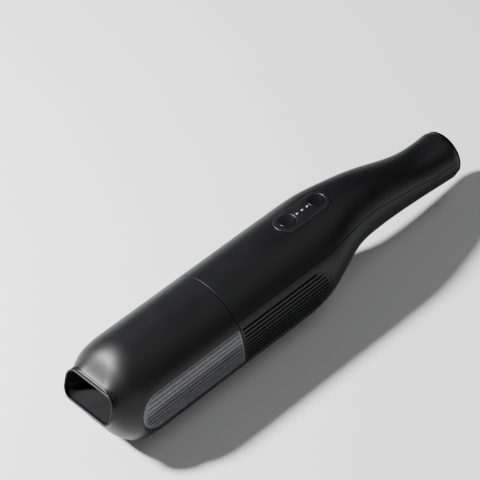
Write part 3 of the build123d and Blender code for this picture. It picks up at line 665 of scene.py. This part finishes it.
def raised(tree, height, shader, depth_mm, strength=0.5, under=None):
    node = tree.nodes.new("ShaderNodeBump")
    node.inputs["Distance"].default_value = depth_mm / 1000.0
    node.inputs["Strength"].default_value = strength
    tree.links.new(height, node.inputs["Height"])
    if under is not None:
        tree.links.new(under, node.inputs["Normal"])
    tree.links.new(node.outputs["Normal"], shader.inputs["Normal"])
    return node.outputs["Normal"]


def finish_of(name, colour, rough, spread=0.05, shade=0.14, metal=0.0, grain=0.3, depth=0.02, patch=14.0,
              stretch=(1, 1, 1), bands=None, **sockets):
    """Colour and gloss that drift over patches, with a fine grain, and bands of layers where there are any."""
    material, tree, shader = blank(name)
    vector = placed(tree, stretch)
    drift = noise(tree, vector, patch)
    fine = noise(tree, vector, grain, 3.0)
    dark = tuple(c * (1 - shade) for c in colour)
    light = tuple(min(1.0, c * (1 + shade)) for c in colour)
    tone = blended(tree, ranged(tree, drift, 0, 1), dark, light)
    speck = tuple(min(1.0, c * (1 + 2 * shade)) for c in colour)
    tone = blended(tree, ranged(tree, fine, 0, 0.35, 0.45, 0.8), tone, speck)
    under = None
    if bands:
        axis, size, weight = bands
        wave = tree.nodes.new("ShaderNodeTexWave")
        wave.bands_direction = axis
        wave.inputs["Scale"].default_value = 1000.0 / size / 3.18
        wave.inputs["Distortion"].default_value = 0.4
        tree.links.new(placed(tree), wave.inputs["Vector"])
        share = ranged(tree, wave.outputs["Fac"], 0, weight, 0, 1)
        tone = blended(tree, share, tone, tuple(c * 0.35 for c in colour))
        under = raised(tree, wave.outputs["Fac"], shader, size * 0.25, 0.6)
    tree.links.new(tone, shader.inputs["Base Color"])
    tree.links.new(ranged(tree, drift, rough - spread, rough + spread), shader.inputs["Roughness"])
    shader.inputs["Metallic"].default_value = metal
    raised(tree, fine, shader, depth, 0.5, under)
    for socket, value in sockets.items():
        shader.inputs[socket.replace("_", " ")].default_value = value
    return material


def clear_plastic(name, colour, see_through, rough):
    """Smoked clear plastic: faintly hazy tint that varies, polished, partly see-through; the flute grooves are
    painted near black as painted shade, so the ribs between them read as lighter bands.
    """
    material, tree, shader = blank(name)
    vector = placed(tree)
    drift = noise(tree, vector, 18.0)
    fine = noise(tree, vector, 2.5, 2.0)
    thin_and_groove_shade = tree.nodes.new("ShaderNodeAttribute")
    thin_and_groove_shade.attribute_name = "thin_and_groove_shade"
    tint_and_groove_shade = blended(tree, drift, tuple(c * 0.85 for c in colour), tuple(c * 1.15 for c in colour))
    # Painted shade: where the flutes are deep the tint is darkened to a twentieth, standing in for the dark lines the
    # flutes throw; the ribs keep the lighter tint.
    tint_and_groove_shade = blended(tree, thin_and_groove_shade.outputs["Fac"], tint_and_groove_shade, tuple(c * 0.05 for c in colour))
    tree.links.new(tint_and_groove_shade, shader.inputs["Base Color"])
    tree.links.new(ranged(tree, drift, rough * 0.7, rough * 1.4), shader.inputs["Roughness"])
    tree.links.new(ranged(tree, thin_and_groove_shade.outputs["Fac"], 1 - see_through, 1 - 1.4 * see_through, 0, 1),
                   shader.inputs["Alpha"])
    shader.inputs["IOR"].default_value = 1.4
    raised(tree, fine, shader, 0.0006, 0.2)
    return material


def board_finish(name):
    """Green solder mask with copper lines under it."""
    material, tree, shader = blank(name)
    vector = placed(tree)
    lines = tree.nodes.new("ShaderNodeTexBrick")
    lines.inputs["Scale"].default_value = 260.0
    lines.inputs["Mortar Size"].default_value = 0.03
    lines.inputs["Color1"].default_value = (0.010, 0.075, 0.035, 1)
    lines.inputs["Color2"].default_value = (0.008, 0.060, 0.030, 1)
    lines.inputs["Mortar"].default_value = (0.030, 0.170, 0.070, 1)
    tree.links.new(vector, lines.inputs["Vector"])
    tree.links.new(lines.outputs["Color"], shader.inputs["Base Color"])
    drift = noise(tree, vector, 6.0)
    tree.links.new(ranged(tree, drift, 0.28, 0.42), shader.inputs["Roughness"])
    raised(tree, lines.outputs["Fac"], shader, 0.03, 0.5)
    return material


FINISHES = {
    "soft_touch_black": finish_of("soft_touch_black", (0.0025, 0.0025, 0.003), 0.46, 0.03, grain=0.16, depth=0.008,
                                  patch=30, IOR=1.33),
    # The smoked pane's flute grooves carry painted shade, made in clear_plastic.
    "smoked_clear": clear_plastic("smoked_clear", (0.085, 0.085, 0.092), 0.14, 0.15),
    # Rim bead: black plastic coloured dark grey, far lighter than the body, as a painted highlight for the thin
    # bright edge it catches.
    "rim_painted_highlight": finish_of("rim_painted_highlight", (0.12, 0.12, 0.125), 0.20, 0.04, grain=0.5, depth=0.004, patch=8),
    "grille_black": finish_of("grille_black", (0.0025, 0.0025, 0.003), 0.44, 0.04, grain=0.2, depth=0.008,
                              patch=20, IOR=1.33),
    "collar_pale": finish_of("collar_pale", (0.60, 0.60, 0.62), 0.42, 0.05, shade=0.05, grain=0.3, depth=0.015),
    "inner_black": finish_of("inner_black", (0.003, 0.003, 0.0035), 0.55, 0.05, grain=0.35, depth=0.015, IOR=1.3),
    "flap_rubber": finish_of("flap_rubber", (0.045, 0.045, 0.048), 0.62, 0.06, grain=0.4, depth=0.02),
    "seal_rubber": finish_of("seal_rubber", (0.10, 0.10, 0.105), 0.58, 0.06, grain=0.4, depth=0.02),
    "bright_steel": finish_of("bright_steel", (0.60, 0.60, 0.61), 0.27, 0.06, metal=1.0, grain=0.12, depth=0.006,
                              patch=5, stretch=(1, 8, 1)),
    "filter_plastic": finish_of("filter_plastic", (0.09, 0.09, 0.10), 0.42, 0.05, grain=0.35, depth=0.015),
    "filter_paper": finish_of("filter_paper", (0.70, 0.70, 0.66), 0.85, 0.05, shade=0.08, grain=0.18, depth=0.04,
                              patch=4, stretch=(1, 1, 2.5)),
    "filter_mesh": finish_of("filter_mesh", (0.42, 0.42, 0.43), 0.34, 0.06, metal=0.9, grain=0.25, depth=0.02,
                             patch=3),
    "foam": finish_of("foam", (0.035, 0.035, 0.037), 0.92, 0.04, shade=0.35, grain=0.9, depth=0.35, patch=3),
    "port_black": finish_of("port_black", (0.012, 0.012, 0.013), 0.28, 0.05, grain=0.3, depth=0.006, patch=6),
    "circuit_board": board_finish("circuit_board"),
    "switch_metal": finish_of("switch_metal", (0.52, 0.52, 0.53), 0.30, 0.06, metal=1.0, grain=0.1, depth=0.006,
                              patch=3),
    "led_diffuser": finish_of("led_diffuser", (0.34, 0.345, 0.36), 0.45, 0.05, shade=0.05, grain=0.2, depth=0.01,
                              patch=2),
    "pad_black": finish_of("pad_black", (0.0025, 0.0025, 0.003), 0.40, 0.04, grain=0.16, depth=0.006, patch=16),
    "button_black": finish_of("button_black", (0.0025, 0.0025, 0.003), 0.32, 0.04, grain=0.16, depth=0.005, patch=9),
    "motor_steel": finish_of("motor_steel", (0.45, 0.45, 0.46), 0.33, 0.07, metal=1.0, grain=0.2, depth=0.008,
                             patch=7, stretch=(6, 1, 1)),
    "stator_iron": finish_of("stator_iron", (0.22, 0.22, 0.23), 0.45, 0.08, metal=0.8, grain=0.2, depth=0.01,
                             patch=5, bands=("X", 0.6, 0.6)),
    "coil_copper": finish_of("coil_copper", (0.62, 0.22, 0.06), 0.30, 0.06, metal=0.9, grain=0.2, depth=0.01,
                             patch=4, bands=("Y", 0.7, 0.5)),
    "magnet": finish_of("magnet", (0.40, 0.39, 0.37), 0.24, 0.05, metal=1.0, grain=0.2, depth=0.005, patch=5),
    "impeller_plastic": finish_of("impeller_plastic", (0.62, 0.62, 0.60), 0.40, 0.05, shade=0.05, grain=0.3,
                                  depth=0.012),
    "cell_wrap": finish_of("cell_wrap", (0.03, 0.13, 0.30), 0.26, 0.06, shade=0.1, grain=0.7, depth=0.02, patch=9),
}


def dress(obj, slot, finish=None):
    obj.data.materials.clear()
    obj.data.materials.append(FINISHES[finish or slot])


def place_piece(obj, slot, body, *nodes, finish=None):
    """Dresses a new piece, puts it on its body and lets it stand for CAD nodes."""
    dress(obj, slot, finish)
    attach(obj, body)
    if nodes:
        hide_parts(*nodes)


for part in frame["record"]["subparts"]:
    dress(frame["nodes"][part["node"]], part["material_slot"])

place_piece(build_cup(), "soft_touch_black", "dust_cup", "cup_shell")
place_piece(build_upper(), "soft_touch_black", "housing", "housing_upper")
place_piece(build_lower(), "soft_touch_black", "housing", "housing_lower")
for side, hand in ((1, "left"), (-1, "right")):
    place_piece(build_window(side), "smoked_clear", "dust_cup", "window_" + hand)
    # The rim bead takes the grey painted-highlight finish, not the pane's.
    place_piece(build_rim(side), "smoked_clear", "dust_cup", finish="rim_painted_highlight")
    place_piece(build_grille(side), "grille_black", "housing", "grille_" + hand)
place_piece(build_pad(), "pad_black", "housing", "control_pad")
for index, led_x in enumerate(LED_XS):
    lens = build_lens(index, led_x)
    place_piece(lens, "led_diffuser", "housing", *(["led_light_guides"] if index == 0 else []))
place_piece(build_button("power_button", BUTTON_XS["power_button"]), "button_black", "power_key", "power_button")
place_piece(build_button("mode_button", BUTTON_XS["mode_button"]), "button_black", "mode_key", "mode_button")


# ---------------------------------------------------------------- floor, light and camera
def floor_plane():
    size = 6.0
    mesh = bpy.data.meshes.new("floor")
    low = cad_low.z - 0.0004
    mesh.from_pydata([(-size, -size, low), (size, -size, low), (size, size, low), (-size, size, low)], [],
                     [(0, 1, 2, 3)])
    floor = bpy.data.objects.new("floor", mesh)
    bpy.context.scene.collection.objects.link(floor)
    floor.data.materials.append(finish_of("pale_floor", (0.72, 0.72, 0.72), 0.6, 0.04, shade=0.012, grain=2.0,
                                          depth=0.01, patch=300))


def soft_light(name, aim, direction, distance, size, power, height=None):
    data = bpy.data.lights.new(name, "AREA")
    data.shape = "DISK" if height is None else "RECTANGLE"
    data.size, data.energy = size, power
    if height is not None:
        data.size_y = height
    light = bpy.data.objects.new(name, data)
    away = Vector(direction).normalized()
    light.location = Vector(aim) + away * distance
    light.rotation_mode = "QUATERNION"
    light.rotation_quaternion = away.to_track_quat("Z", "Y")
    bpy.context.scene.collection.objects.link(light)


def studio():
    world = bpy.data.worlds.new("studio")
    world.use_nodes = True
    back = world.node_tree.nodes["Background"]
    back.inputs["Color"].default_value = (0.95, 0.97, 1.0, 1.0)
    back.inputs["Strength"].default_value = 0.06
    bpy.context.scene.world = world
    middle = (cad_low + cad_high) / 2
    dome = ORIGIN + Vector((0.080, 0.0, 0.036))
    soft_light("key", dome, (0.42, -0.56, 0.72), 1.2, 0.17, 72)
    soft_light("fill", middle, (-0.5, 0.35, 0.85), 1.9, 1.4, 6)
    soft_light("side", middle, (0.35, 1.0, 0.22), 1.3, 1.2, 5, 0.22)


def camera():
    azimuth, elevation, roll = (math.radians(turn) for turn in (54.967, 42.929, -10.470))
    aim, distance = Vector((0.01544, -0.01162, 0.0748)), 1.5027
    back = Vector((math.cos(elevation) * math.cos(azimuth), math.cos(elevation) * math.sin(azimuth),
                   math.sin(elevation)))
    level = Vector((0, 0, 1)).cross(back).normalized()
    above = back.cross(level)
    right = level * math.cos(roll) + above * math.sin(roll)
    up = back.cross(right)
    data = bpy.data.cameras.new("camera")
    data.lens, data.sensor_width = 162.79, 36.0
    view = bpy.data.objects.new("camera", data)
    turned = Matrix((right, up, back)).transposed().to_4x4()
    turned.translation = aim + back * distance
    view.matrix_world = turned
    bpy.context.scene.collection.objects.link(view)
    bpy.context.scene.camera = view


floor_plane()
studio()
camera()
